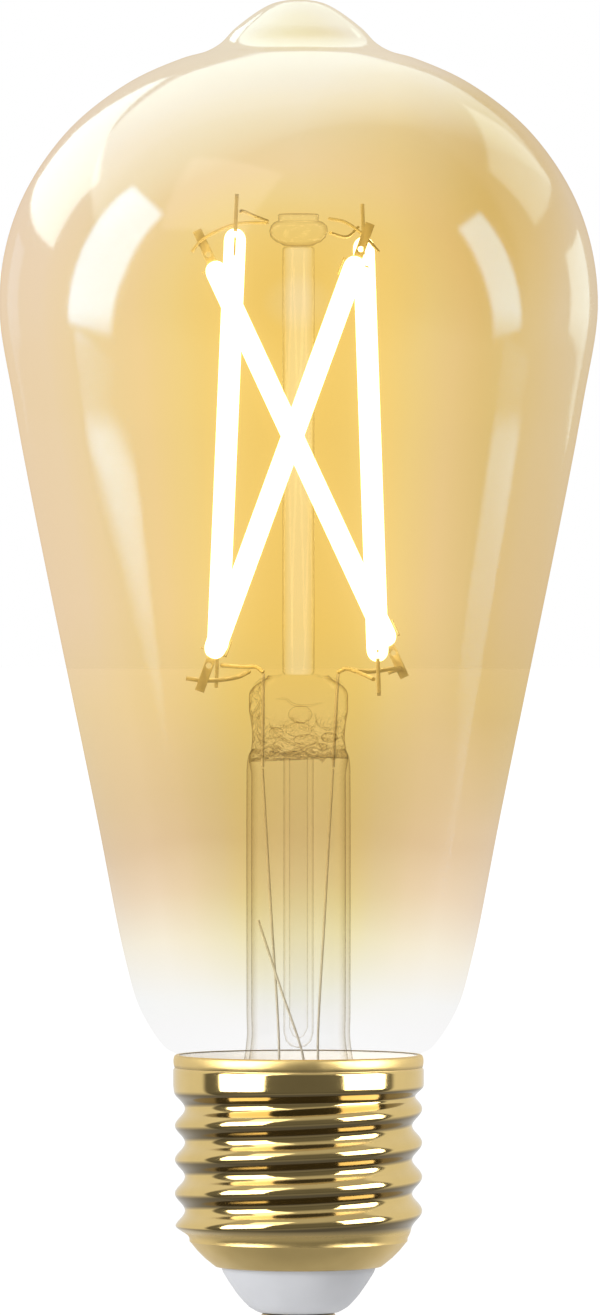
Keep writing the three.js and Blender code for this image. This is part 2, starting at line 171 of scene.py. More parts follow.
def tube(points, radius, sides=12, taper=None):
    """A closed round tube along points, with flat ends."""
    path = [Vector(p) for p in points]
    verts, faces = [], []
    tangent = (path[1] - path[0]).normalized()
    side = tangent.orthogonal().normalized()
    for i, p in enumerate(path):
        ahead = path[min(i + 1, len(path) - 1)] - path[max(i - 1, 0)]
        turn = tangent.rotation_difference(ahead.normalized())
        side = (turn @ side).normalized()
        tangent = ahead.normalized()
        other = tangent.cross(side)
        r = radius * (taper(i / (len(path) - 1)) if taper else 1)
        for k in range(sides):
            a = 2 * math.pi * k / sides
            verts.append(p + (side * math.cos(a) + other * math.sin(a)) * r)
    for i in range(len(path) - 1):
        for k in range(sides):
            n = (k + 1) % sides
            faces.append([i * sides + k, i * sides + n, (i + 1) * sides + n, (i + 1) * sides + k])
    faces.append(list(range(sides))[::-1])
    faces.append([(len(path) - 1) * sides + k for k in range(sides)])
    return verts, faces


def read_bmesh(bm):
    bm.verts.ensure_lookup_table()
    verts = [v.co.copy() for v in bm.verts]
    faces = [[v.index for v in f.verts] for f in bm.faces]
    bm.free()
    return verts, faces


def rounded_box(size, centre, bevel, segments=2):
    bm = bmesh.new()
    bmesh.ops.create_cube(bm, size=1.0, matrix=Matrix.Diagonal((*size, 1)))
    bmesh.ops.bevel(bm, geom=bm.edges[:], offset=bevel, segments=segments, affect="EDGES", profile=0.5)
    bmesh.ops.translate(bm, vec=centre, verts=bm.verts[:])
    bm.verts.index_update()
    return read_bmesh(bm)


def plate(outlines, thickness, bevel):
    """A flat plate in X and Y with rounded edges: the first outline is its rim, the others are holes."""
    curve = bpy.data.curves.new("plate", "CURVE")
    curve.dimensions = "2D"
    curve.fill_mode = "BOTH"
    curve.extrude = thickness / 2 - bevel
    curve.bevel_depth = bevel
    curve.bevel_resolution = 1
    curve.offset = -bevel
    for outline in outlines:
        line = curve.splines.new("POLY")
        line.points.add(len(outline) - 1)
        for point, (x, y) in zip(line.points, outline):
            point.co = (x, y, 0, 1)
        line.use_cyclic_u = True
    holder = bpy.data.objects.new("plate", curve)
    scene.collection.objects.link(holder)
    mesh = bpy.data.meshes.new_from_object(holder.evaluated_get(bpy.context.evaluated_depsgraph_get()))
    bm = bmesh.new()
    bm.from_mesh(mesh)
    bmesh.ops.remove_doubles(bm, verts=bm.verts[:], dist=1e-4)
    bmesh.ops.recalc_face_normals(bm, faces=bm.faces[:])
    bm.verts.index_update()
    bpy.data.objects.remove(holder)
    bpy.data.curves.remove(curve)
    bpy.data.meshes.remove(mesh)
    return read_bmesh(bm)


def circle(x, y, radius, count=16):
    angles = [2 * math.pi * k / count for k in range(count)]
    return [(x + radius * math.cos(a), y + radius * math.sin(a)) for a in angles]


def placed(part, basis=None, origin=(0, 0, 0)):
    verts, faces = part
    basis = basis or Matrix.Identity(3)
    return [Vector(origin) + basis @ Vector(v) for v in verts], faces


def joined(*parts):
    verts, faces = [], []
    for part_verts, part_faces in parts:
        base = len(verts)
        verts += [Vector(v) for v in part_verts]
        faces += [[i + base for i in f] for f in part_faces]
    return verts, faces


def new_piece(name, part, slot, replaced, sharp=40):
    """Makes an object of the given name from points in mm, rides it on the one body and hides the CAD parts
    that it replaces.
    """
    verts, faces = part
    mesh = bpy.data.meshes.new(name)
    mesh.from_pydata([Vector(v) * MM for v in verts], [], faces)
    mesh.validate()
    bm = bmesh.new()
    bm.from_mesh(mesh)
    bmesh.ops.recalc_face_normals(bm, faces=bm.faces[:])
    for edge in bm.edges:
        edge.smooth = len(edge.link_faces) != 2 or edge.calc_face_angle(0) < math.radians(sharp)
    for face in bm.faces:
        face.smooth = True
    bm.to_mesh(mesh)
    bm.free()
    mesh.materials.append(MATERIALS[slot])
    piece = bpy.data.objects.new(name, mesh)
    scene.collection.objects.link(piece)
    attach(piece, "root")
    if replaced:
        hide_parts(*replaced)
    return piece


def smoothstep(value, low, high):
    t = min(max((value - low) / (high - low), 0), 1)
    return t * t * (3 - 2 * t)


# ---------------------------------------------------------------------------------------------------
# Materials
# ---------------------------------------------------------------------------------------------------
class Shader:
    """Adds and links the nodes of one material."""

    def __init__(self, name):
        self.material = bpy.data.materials.new(name)
        self.material.use_nodes = True
        self.tree = self.material.node_tree
        self.tree.nodes.clear()
        self.output = self.tree.nodes.new("ShaderNodeOutputMaterial")

    def add(self, kind, settings=None, **inputs):
        """A node with its settings. An input is given by name, or by number as i0, i1, ..."""
        node = self.tree.nodes.new(kind)
        for key, value in (settings or {}).items():
            setattr(node, key, value)
        for key, value in inputs.items():
            socket = node.inputs[int(key[1:]) if key[1:].isdigit() else key.replace("_", " ")]
            if isinstance(value, bpy.types.NodeSocket):
                self.tree.links.new(value, socket)
            elif socket.type == "RGBA":
                socket.default_value = tuple(value)[:3] + (1,)
            else:
                socket.default_value = value
        return node

    def math(self, operation, a, b=0.0):
        return self.add("ShaderNodeMath", {"operation": operation}, i0=a, i1=b).outputs[0]

    def vector(self, operation, a, b, output="Vector"):
        return self.add("ShaderNodeVectorMath", {"operation": operation}, i0=a, i1=b).outputs[output]

    def position(self):
        return self.add("ShaderNodeTexCoord").outputs["Object"]

    def height(self):
        return self.add("ShaderNodeSeparateXYZ", i0=self.position()).outputs["Z"]

    def noise(self, scale, detail, distortion=0.0):
        node = self.add("ShaderNodeTexNoise", Scale=scale, Detail=detail, Distortion=distortion,
                        Vector=self.position())
        return node.outputs["Fac"]

    def ramp(self, factor, stops):
        node = self.add("ShaderNodeValToRGB", i0=factor)
        elements = node.color_ramp.elements
        while len(elements) < len(stops):
            elements.new(0.5)
        for element, (at, colour) in zip(elements, stops):
            element.position = at
            element.color = tuple(colour) + (1,)
        return node.outputs["Color"]

    def range(self, value, low, high, to_low=0.0, to_high=1.0):
        node = self.add("ShaderNodeMapRange", i0=value, i1=low, i2=high, i3=to_low, i4=to_high)
        return node.outputs["Result"]

    def bump(self, height, strength, distance):
        node = self.add("ShaderNodeBump", Strength=strength, Distance=distance, Height=height)
        return node.outputs["Normal"]

    def blend(self, factor, a, b):
        """A colour between two colours."""
        return self.add("ShaderNodeMix", {"data_type": "RGBA"}, i0=factor, i6=a, i7=b).outputs[2]

    def product(self, *colours):
        total = colours[0]
        for colour in colours[1:]:
            settings = {"data_type": "RGBA", "blend_type": "MULTIPLY"}
            total = self.add("ShaderNodeMix", settings, i0=1.0, i6=total, i7=colour).outputs[2]
        return total

    def mix(self, factor, a, b):
        """A shader between two shaders."""
        return self.add("ShaderNodeMixShader", i0=factor, i1=a, i2=b).outputs[0]

    def finish(self, shader):
        self.tree.links.new(shader, self.output.inputs["Surface"])
        return self.material


CLEAR = (1.0, 1.0, 1.0)
TINT_FOOT = 30.0
TINT_HEAD = 143.0
# What the coated outer face lets through, by height in millimetres.
TINT_BY_HEIGHT = [
    (31.0, (0.968, 0.968, 0.968)),
    (36.1, (0.959, 0.953, 0.949)),
    (41.5, (0.960, 0.908, 0.842)),
    (46.8, (0.917, 0.803, 0.702)),
    (52.1, (0.873, 0.738, 0.606)),
    (57.5, (0.878, 0.743, 0.583)),
    (68.2, (0.920, 0.778, 0.583)),
    (78.9, (0.941, 0.794, 0.632)),
    (100.2, (0.942, 0.801, 0.638)),
    (116.3, (0.946, 0.807, 0.669)),
    (126.9, (0.930, 0.805, 0.690)),
    (140.0, (0.935, 0.850, 0.740)),
]
# The glass as a mirror, for the envelope and for the stem: its share face-on, and what its rim adds.
MIRROR_SHARE = 0.034
MIRROR_RIM = 0.08
STEM_MIRROR = 0.012
STEM_RIM = 0.12
# How much of the face-on share is kept, by height in millimetres.
GLOSS_BY_HEIGHT = [
    (44, 0.02), (56, 0.08), (76, 0.25), (93, 0.6), (96, 0.55), (99, 0.08), (105, 0.1), (109, 1.0),
]
# A painted dark reflection on the coating, high on the front: its middle and reach in millimetres, and its
# tint.
DARK_REFLECTION_CENTRE = (16.0, -20.0, 122.0)
DARK_REFLECTION_REACH = 18.0
DARK_REFLECTION_TINT = [(0.0, (0.95, 0.86, 0.52)), (0.5, (0.97, 0.91, 0.68)), (1.0, CLEAR)]
# Painted halo of the lit sticks: the tint deepens face-on, beside the sticks, and below them.
PAINTED_HALO_TINT = [
    (0.0, (0.99, 0.97, 0.68)), (0.008, (0.99, 0.945, 0.56)), (0.05, (1.0, 0.975, 0.64)),
    (0.1, (1, 1, 0.75)), (0.17, (1, 1, 0.84)), (0.28, (0.98, 1, 0.885)), (0.5, (0.97, 1, 0.985)),
    (0.85, (0.96, 0.985, 0.98)), (1.0, (0.93, 0.94, 0.92)),
]
PAINTED_HALO_LOW = [
    (0.0, (0.94, 0.93, 0.74)), (0.05, (0.93, 0.925, 0.68)), (0.1, (0.935, 0.94, 0.78)),
    (0.2, (0.97, 0.975, 0.88)), (0.35, (0.985, 1, 0.95)), (0.85, (0.955, 0.99, 0.985)),
    (1.0, (0.93, 0.955, 0.94)),
]
PAINTED_HALO_LOW_TO = 62.0
PAINTED_HALO_HIGH_FROM = 76.0
PAINTED_HALO_FROM = 33.0
PAINTED_HALO_FULL = 47.0
PAINTED_HALO_NONE = (0.98, 0.98, 0.98)
# Painted shade on the coating, darker towards the right-hand side, by X in millimetres, and only from a height
# upwards.
PAINTED_SIDE_SHADE = [
    (10.0, CLEAR), (15.0, (0.965, 0.96, 0.95)), (20.0, (0.93, 0.905, 0.79)), (26.0, (0.93, 0.915, 0.82)),
    (32.0, (0.93, 0.95, 0.95)),
]
PAINTED_SIDE_SHADE_FROM = 54.0
PAINTED_SIDE_SHADE_FULL = 66.0
# A height inside the envelope that every outer face looks away from.
ENVELOPE_CORE = 100.0


def over_span(stops, low, high):
    """Ramp stops between 0 and 1, from stops between two lengths in millimetres."""
    return [((at - low) / (high - low), c if isinstance(c, tuple) else (c, c, c)) for at, c in stops]


def outer_wall(s):
    """1 on the outer face of the glass, and 1 on its side nearest the eye only."""
    geometry = s.add("ShaderNodeNewGeometry")
    reach = s.vector("SUBTRACT", s.position(), (0, 0, ENVELOPE_CORE * MM))
    lean = s.vector("DOT_PRODUCT", reach, geometry.outputs["Normal"], "Value")
    turned = s.math("SUBTRACT", 1.0, s.math("MULTIPLY", geometry.outputs["Backfacing"], 2.0))
    outside = s.math("GREATER_THAN", s.math("MULTIPLY", lean, turned), 0.0)
    near = s.math("MULTIPLY", outside, s.math("SUBTRACT", 1.0, geometry.outputs["Backfacing"]))
    return outside, near


def amber_tint(s, share, facing):
    """The colour of the coating, with painted light in it: a halo of the lit sticks face-on, shade towards the
    right-hand side and a dark reflection high on the front. share is the height between foot and head, facing
    the turn from the eye.
    """
    height = s.height()
    cloud = s.range(s.noise(28, 2), 0.3, 0.7, -0.02, 0.02)
    by_z = s.ramp(s.math("ADD", share, cloud), over_span(TINT_BY_HEIGHT, TINT_FOOT, TINT_HEAD))
    # Painted halo of the lit sticks: the tint deepens face-on (depth), from the neck upwards, beside and below
    # the sticks.
    full = s.range(height, PAINTED_HALO_FROM * MM, PAINTED_HALO_FULL * MM)
    high = s.range(height, PAINTED_HALO_LOW_TO * MM, PAINTED_HALO_HIGH_FROM * MM)
    depth = s.blend(high, s.ramp(facing, PAINTED_HALO_LOW), s.ramp(facing, PAINTED_HALO_TINT))
    depth = s.blend(full, PAINTED_HALO_NONE, depth)
    # Painted shade: the tint darkens towards the right-hand side, from a height upwards.
    inner, outer = PAINTED_SIDE_SHADE[0][0], PAINTED_SIDE_SHADE[-1][0]
    across = s.add("ShaderNodeSeparateXYZ", i0=s.position()).outputs["X"]
    side = s.ramp(s.range(across, inner * MM, outer * MM), over_span(PAINTED_SIDE_SHADE, inner, outer))
    side = s.blend(s.range(height, PAINTED_SIDE_SHADE_FROM * MM, PAINTED_SIDE_SHADE_FULL * MM), CLEAR, side)
    # Painted dark reflection, high on the front.
    away = s.vector("DISTANCE", s.position(), tuple(c * MM for c in DARK_REFLECTION_CENTRE), "Value")
    painted_dark_reflection = s.ramp(s.range(away, 0.0, DARK_REFLECTION_REACH * MM), DARK_REFLECTION_TINT)
    return s.product(by_z, depth, side, painted_dark_reflection)


def amber_glass():
    s = Shader("amber_glass")
    share = s.range(s.height(), TINT_FOOT * MM, TINT_HEAD * MM)
    facing = s.add("ShaderNodeLayerWeight", Blend=0.5).outputs["Facing"]
    outside, near = outer_wall(s)
    tint = s.blend(outside, CLEAR, amber_tint(s, share, facing))
    keep = s.ramp(share, over_span(GLOSS_BY_HEIGHT, TINT_FOOT, TINT_HEAD))
    rim = s.math("MULTIPLY", s.math("POWER", facing, 3.0), MIRROR_RIM)
    mirror = s.math("MULTIPLY", s.math("ADD", s.math("MULTIPLY", keep, MIRROR_SHARE), rim), near)
    normal = s.bump(s.noise(16, 2), 0.2, 0.3 * MM)
    through = s.add("ShaderNodeBsdfTransparent", Color=tint).outputs[0]
    gloss = s.add("ShaderNodeBsdfGlossy", Color=(1, 1, 1), Roughness=0.1, Normal=normal).outputs[0]
    return s.finish(s.mix(mirror, through, gloss))


def clear_glass(name, tints, wrinkle=0.1, scale=120.0, mask=None, glow=None):
    """Thin lamp glass: clear face-on, and darker where it turns away by the ramp in tints. mask tells where it
    is crumpled, and glow is a painted glow added on it, strongest face-on."""
    s = Shader(name)
    waves = s.math("MULTIPLY", s.noise(scale, 2, 1.6), mask(s)) if mask else s.noise(scale, 3)
    normal = s.bump(waves, wrinkle, 0.5 * MM)
    facing = s.add("ShaderNodeLayerWeight", Blend=0.5, Normal=normal).outputs["Facing"]
    rim = s.math("ADD", s.math("MULTIPLY", s.math("POWER", facing, 4.0), STEM_RIM), STEM_MIRROR)
    through = s.add("ShaderNodeBsdfTransparent", Color=s.ramp(facing, tints)).outputs[0]
    gloss = s.add("ShaderNodeBsdfGlossy", Color=(1, 1, 1), Roughness=0.08, Normal=normal).outputs[0]
    glass = s.mix(rim, through, gloss)
    if glow:
        # Painted glow: emission on the glass, strongest face-on.
        strength = s.range(facing, 0.1, 0.6, 1.0, 0.0)
        lit = s.add("ShaderNodeEmission", Color=glow, Strength=strength).outputs[0]
        glass = s.add("ShaderNodeAddShader", i0=glass, i1=lit).outputs[0]
    return s.finish(glass)


def crumpled_part(s):
    """Where the squashed glass is crumpled: a band down its left side and the molten edge at its foot."""
    spot = s.add("ShaderNodeSeparateXYZ", i0=s.position())
    left = s.range(spot.outputs["X"], -3.4 * MM, -4.1 * MM)
    foot = s.range(spot.outputs["Z"], 67.6 * MM, 66.0 * MM)
    return s.math("ADD", s.math("MAXIMUM", left, foot), 0.12)


STICK_GLOW = 5.0


def phosphor():
    """The lit coating of a stick, slightly grainy."""
    s = Shader("phosphor")
    grain = s.range(s.noise(900, 2), 0.3, 0.7, 0.9, 1.1)
    body = s.add("ShaderNodeBsdfPrincipled", Base_Color=(1.0, 0.85, 0.5), Roughness=0.6)
    glow = s.add("ShaderNodeEmission", Color=(1.0, 0.92, 0.76), Strength=s.math("MULTIPLY", grain, STICK_GLOW))
    both = s.add("ShaderNodeAddShader", i0=body.outputs[0], i1=glow.outputs[0])
    return s.finish(both.outputs[0])


def metal(name, colour, roughness, grain=400, dent=0.1, metallic=1.0, dark=0.82):
    """Metal with cloudy colour, uneven polish and tiny dents."""
    s = Shader(name)
    tone = s.ramp(s.noise(grain, 4), [(0.3, tuple(c * dark for c in colour)), (0.7, colour)])
    rough = s.range(s.noise(grain * 2.3, 3), 0.3, 0.7, roughness * 0.8, roughness * 1.2)
    normal = s.bump(s.noise(grain * 4, 2), dent, 0.02 * MM)
    body = s.add("ShaderNodeBsdfPrincipled", Base_Color=tone, Metallic=metallic, Roughness=rough,
                 Normal=normal)
    return s.finish(body.outputs[0])


GOLD = (0.86, 0.64, 0.26)
GOLD_CLOUDS = (0.80, 0.59, 0.235)
# Painted shade for the flanks of the thread that face down.
GOLD_UNDERSIDE_SHADE = (0.22, 0.17, 0.09)
GOLD_POLISH = 0.10
GOLD_SATIN = 0.34
GOLD_RIM = 0.38


def gold_cap():
    """Bright rolled thread, with painted shade on its flanks where they face down, between a satin skirt and a
    satin rim.
    """
    s = Shader("gold_cap")
    tone = s.ramp(s.noise(240, 4), [(0.3, GOLD_CLOUDS), (0.7, GOLD)])
    lean = s.add("ShaderNodeSeparateXYZ", i0=s.add("ShaderNodeNewGeometry").outputs["Normal"]).outputs["Z"]
    # Painted shade: the flanks that face down are darkened, above the skirt.
    underside_shade = s.math("MULTIPLY", s.range(lean, -0.15, -0.55), s.range(s.height(), 11.4 * MM, 12.2 * MM))
    tone = s.blend(underside_shade, tone, GOLD_UNDERSIDE_SHADE)
    skirt = s.range(s.height(), 11.2 * MM, 12.0 * MM, GOLD_SATIN, GOLD_POLISH)
    rim = s.range(s.height(), 28.75 * MM, 28.95 * MM, 0.0, GOLD_RIM)
    satin = s.math("MAXIMUM", skirt, rim)
    rough = s.math("MULTIPLY", satin, s.range(s.noise(550, 3), 0.3, 0.7, 0.85, 1.15))
    normal = s.bump(s.noise(960, 2), 0.03, 0.02 * MM)
    body = s.add("ShaderNodeBsdfPrincipled", Base_Color=tone, Metallic=1.0, Roughness=rough, Normal=normal)
    return s.finish(body.outputs[0])


def plastic(name, colour, roughness, grain=600, dent=0.15, glow=0.0):
    """Moulded or coated material with slightly uneven colour and a fine-textured face."""
    s = Shader(name)
    tone = s.ramp(s.noise(grain * 0.4, 3), [(0.3, tuple(c * 0.86 for c in colour)), (0.7, colour)])
    rough = s.range(s.noise(grain, 3), 0.3, 0.7, roughness * 0.85, roughness * 1.15)
    normal = s.bump(s.noise(grain * 3, 2), dent, 0.03 * MM)
    body = s.add("ShaderNodeBsdfPrincipled", Base_Color=tone, Roughness=rough, Normal=normal,
                 Emission_Color=colour, Emission_Strength=glow)
    return s.finish(body.outputs[0])


# What the stem's glass lets through, from face-on (0) to edge-on (1).
STEM_TINTS = [
    (0.0, (0.998, 0.998, 0.997)), (0.45, (0.992, 0.990, 0.986)), (0.75, (0.90, 0.88, 0.84)),
    (1.0, (0.64, 0.60, 0.53)),
]
PRESS_TINTS = [
    (0.0, (1.0, 0.998, 0.99)), (0.2, (0.99, 0.985, 0.97)), (0.45, (0.89, 0.86, 0.80)),
    (0.8, (0.70, 0.66, 0.58)), (1.0, (0.6, 0.55, 0.48)),
]

MATERIALS = {
    "amber_glass": amber_glass(),
    "stem_glass": clear_glass("stem_glass", STEM_TINTS),
    "phosphor": phosphor(),
    "led_strip": plastic("led_strip", (0.9, 0.88, 0.83), 0.5),
    "nickel_wire": metal("nickel_wire", (0.72, 0.62, 0.36), 0.5, 900, metallic=0.3, dark=0.85),
    "copper_wire": metal("copper_wire", (0.72, 0.67, 0.56), 0.5, 900, metallic=0.1, dark=0.9),
    "gold_cap": gold_cap(),
    "contact_metal": metal("contact_metal", (0.66, 0.50, 0.28), 0.3, 300),
    "insulation": plastic("insulation", (0.56, 0.57, 0.60), 0.45, 300),
    # The cement glows a little: painted light, so that it reads as lit white inside the shaded neck.
    "cement": plastic("cement", (0.94, 0.94, 0.93), 0.9, 500, dent=0.5, glow=0.45),
    "board": plastic("board", (0.02, 0.12, 0.05), 0.45, 500),
    "capacitor_sleeve": plastic("capacitor_sleeve", (0.02, 0.03, 0.07), 0.35, 300),
    "ferrite": plastic("ferrite", (0.05, 0.05, 0.055), 0.8, 700, dent=0.4),
    "film_resin": plastic("film_resin", (0.45, 0.08, 0.04), 0.4, 300),
    "fuse_coat": plastic("fuse_coat", (0.22, 0.35, 0.21), 0.6, 500),
    "black_resin": plastic("black_resin", (0.02, 0.02, 0.022), 0.5, 700),
    "shield": metal("shield", (0.6, 0.61, 0.62), 0.3, 400),
    "red_wire": plastic("red_wire", (0.32, 0.03, 0.02), 0.45, 500),
}
PRESS_GLASS = clear_glass("press_glass", PRESS_TINTS, wrinkle=1.0, scale=900, mask=crumpled_part)
# The rod stands between the lit sticks; a painted glow on it stands in for their light.
ROD_GLASS_PAINTED_GLOW = clear_glass("rod_glass_painted_glow", STEM_TINTS, glow=(0.04, 0.07, 0.16))


def dress_frame():
    """Gives each CAD node the material of its slot in the record."""
    slot_of = {part["node"]: part["material_slot"] for part in frame["record"]["subparts"]}
    for name, node in frame["nodes"].items():
        node.data.materials.clear()
        node.data.materials.append(MATERIALS[slot_of[name]])


# ---------------------------------------------------------------------------------------------------
# Envelope and stem
# ---------------------------------------------------------------------------------------------------
def build_envelope():
    outside = [(max(p.x, 0), p.y) for p in spline(ENVELOPE_OUTLINE, 9)]
    inside = inset(outside, lambda z: ENVELOPE_WALL)
    inside[0] = (0, inside[0][1])
    outside[0] = (0, outside[0][1])

    def hand_blown(r, z, a):
        spot = Vector((math.cos(a) * 0.8, math.sin(a) * 0.8, z * 0.02))
        return -0.06 * (0.5 + 0.5 * noise.noise(spot)) * min(1, r / 12)

    part = lathe(inside + outside[::-1], 128, closed=True, wobble=hand_blown)
    new_piece("glass_envelope", part, "amber_glass", ["glass_bulb"], 60)


def build_flare():
    outside = [(p.x, p.y) for p in spline(FLARE_OUTLINE, 8)]
    inside = inset(outside, lambda z: STEM_WALL * (1 - 0.97 * smoothstep(z, 60.0, 62.9)))
    new_piece("flare_tube", lathe(inside + outside[::-1], 64, closed=True), "stem_glass", ["stem_flare"])

    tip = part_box("exhaust_tube")[0].z / MM
    outer = [(0, tip), (0.8, tip + 0.2), (1.35, tip + 0.75), (EXHAUST_RADIUS, tip + 1.7)]
    outer.append((EXHAUST_RADIUS, EXHAUST_TOP))
    inner = [(EXHAUST_BORE, EXHAUST_TOP), (EXHAUST_BORE, tip + 2.2), (0.6, tip + 1.3), (0, tip + 1.0)]
    new_piece("exhaust_pipe", lathe(outer + inner, 32), "stem_glass", ["exhaust_tube"])


def press_half_width(z, low, high):
    """Half the width of the squashed tube at a height: rounded shoulders above, a slight waist below."""
    share = (z - low) / (high - low)
    waist = PRESS_HALF_WIDTH - PRESS_WAIST * math.sin(math.pi * min(share / 0.6, 1.0))
    shoulder = smoothstep(share, 0.72, 1.0)
    return waist * math.sqrt(max(1 - 0.62 * shoulder**2.2, 0.05))


# Bubbles in the squashed glass: X, Z, half width and half height of each.
PRESS_BLOBS = [
    (0.18, 66.65, 1.3, 0.95), (0.0, 65.05, 1.5, 0.8), (0.8, 63.95, 1.35, 0.6), (-2.4, 64.7, 0.8, 0.6),
    (3.3, 64.2, 0.9, 0.55), (2.5, 63.2, 0.6, 0.4),
]
BLOB_DEPTH = 0.35
BLOB_Y = -1.5
# Folds on the front of the squashed glass: X and Z along each.
PRESS_CREASES = [
    [(-2.4, 68.3), (-1.3, 68.3), (-0.6, 67.75), (1.0, 67.6), (2.6, 67.9)],
    [(-3.4, 65.3), (-1.7, 65.2), (-1.2, 65.9), (-0.3, 66.35)],
    [(-3.6, 64.4), (-1.8, 63.0), (0.2, 62.5), (1.6, 62.55), (4.4, 63.4)],
    [(-3.3, 65.9), (-2.6, 64.9), (-1.2, 63.8), (0.3, 63.2), (1.9, 63.1)],
    [(2.4, 65.3), (3.2, 65.05), (4.5, 65.4)],
    [(1.7, 66.9), (1.9, 65.9), (1.5, 65.0), (2.2, 64.2), (4.3, 64.1)],
    [(-4.5, 69.2), (-4.0, 68.2), (-4.6, 67.0), (-4.1, 65.8), (-4.7, 64.2)],
    [(-4.1, 69.6), (-4.5, 68.3), (-4.0, 67.1), (-4.5, 65.6), (-4.1, 63.6)],
    [(-4.9, 68.9), (-4.6, 69.9), (-3.6, 70.5), (-2.4, 70.7), (-1.6, 71.0)],
    [(1.6, 71.0), (2.4, 70.7), (3.8, 70.4), (4.7, 69.8), (4.9, 68.9)],
]
CREASE_RADIUS = 0.13
CREASE_Y = -1.62


def press_body(low, high):
    """The squashed tube: a rounded slab, crumpled at its foot and down its left side, with a sagging edge."""
    rows, count = 44, 80
    verts, faces = [], []
    for j in range(rows + 1):
        z = low + (high - low) * j / rows
        half = press_half_width(z, low, high)
        for i in range(count):
            a = 2 * math.pi * i / count
            x = half * math.copysign(abs(math.cos(a)) ** 0.62, math.cos(a))
            depth = PRESS_HALF_DEPTH * math.copysign(abs(math.sin(a)) ** 0.7, math.sin(a))
            spot = Vector((x * 0.55, depth * 0.3, z * 0.5))
            crumple = 0.30 * (1 - smoothstep(z, low + 4.6, low + 7.2))
            crumple += 0.25 * smoothstep(-x, 3.2, 4.2)
            depth *= 0.86 + crumple * noise.noise(spot * 2.2) - 0.1 * smoothstep(z, high - 1.2, high)
            sag = noise.noise(Vector((x * 0.5, 3.1, depth * 0.2)))
            sag += 0.5 * noise.noise(Vector((x * 1.4, 7.7, 0)))
            rise = (1.0 + 1.3 * sag) * (1 - smoothstep(z, low, low + 3.5))
            y = depth * (1 - 0.5 * (1 - smoothstep(z, low, low + 0.8)))
            verts.append(Vector((x, y, z + max(rise, 0.0))))
    for j in range(rows):
        for i in range(count):
            n = (i + 1) % count
            faces.append([j * count + i, j * count + n, (j + 1) * count + n, (j + 1) * count + i])
    faces.append(list(range(count))[::-1])
    faces.append([rows * count + i for i in range(count)])
    return verts, faces


def build_press():
    low, high = (corner.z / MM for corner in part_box("stem_press"))
    parts = [press_body(low, high)]
    ball = [(math.sin(math.pi * k / 12), -math.cos(math.pi * k / 12)) for k in range(13)]
    ball[0], ball[-1] = (0, -1), (0, 1)
    for x, z, across, up in PRESS_BLOBS:
        parts.append(placed(lathe(ball, 20), Matrix.Diagonal((across, BLOB_DEPTH, up)), (x, BLOB_Y, z)))
    for line in PRESS_CREASES:
        path = spline([(x, CREASE_Y, z) for x, z in line], 6)
        parts.append(tube(path, CREASE_RADIUS, 8, lambda share: 0.35 + 0.65 * math.sin(math.pi * share)))
    press = new_piece("glass_press", joined(*parts), "stem_glass", ["stem_press"])
    press.data.materials[0] = PRESS_GLASS


def build_column():
    foot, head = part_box("support_column")
    r, low, high = head.x / MM, foot.z / MM, head.z / MM
    rod = [(0, low), (r * 0.9, low), (r, low + 0.3)]
    rod += [(r, low + (high - low) * k / 12) for k in range(1, 12)]
    rod += [(r, high - 0.2), (r * 0.9, high), (0, high)]
    column = new_piece("glass_column", lathe(rod, 48), "stem_glass", ["support_column"])
    column.data.materials[0] = ROD_GLASS_PAINTED_GLOW

    low, high = (corner.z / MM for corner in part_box("column_button"))
    neck = BUTTON_NECK_RADIUS
    button = [(0, low), (1.6, low), (2.0, low + 0.25), (2.35, low + 0.35), (2.9, low + 0.9), (3.12, low + 1.55)]
    button += [(3.0, low + 2.1), (2.6, low + 2.5), (2.2, low + 2.6), (neck, high - 0.55), (2.2, high - 0.4)]
    button += [(neck, high - 0.28), (2.22, high - 0.12), (2.05, high), (0.9, high), (0, high)]

    def pinched(r, z, a):
        spot = Vector((math.cos(a) * 1.6, math.sin(a) * 1.6, z * 1.1))
        return 0.22 * noise.noise(spot * 1.5) * smoothstep(r, 2.4, 3.0)

    new_piece("glass_button", lathe(button, 64, wobble=pinched), "stem_glass", ["column_button"])


# ---------------------------------------------------------------------------------------------------
# Filaments
# ---------------------------------------------------------------------------------------------------
def filament_axes(name):
    """A filament's ends and its directions (across, outwards, along), read from its strip's corners."""
    corners = []
    for vertex in sorted(frame["nodes"][f"filament_{name}_strip"].data.vertices, key=lambda v: v.co.z):
        if all((vertex.co - seen).length > 0.05 * MM for seen in corners):
            corners.append(vertex.co.copy())
    foot = sum(corners[:4], Vector()) / 4 / MM
    head = sum(corners[-4:], Vector()) / 4 / MM
    along = (head - foot).normalized()
    outward = Vector(OUTWARD[name])
    outward = (outward - along * outward.dot(along)).normalized()
    return foot, head, outward.cross(along), outward, along


def stick_profile(length):
    """A coated stick with domed ends."""
    radius, end = SLEEVE_RADIUS, 1.0
    dome = [(0.0, -0.35), (0.3, -0.32), (0.6, -0.2), (0.85, 0.02), (1.03, 0.32), (1.12, 0.65), (radius, end)]
    body = [(radius, end + (length - 2 * end) * k / 40) for k in range(1, 40)]
    return dome + body + [(r, length - z) for r, z in dome[::-1]]


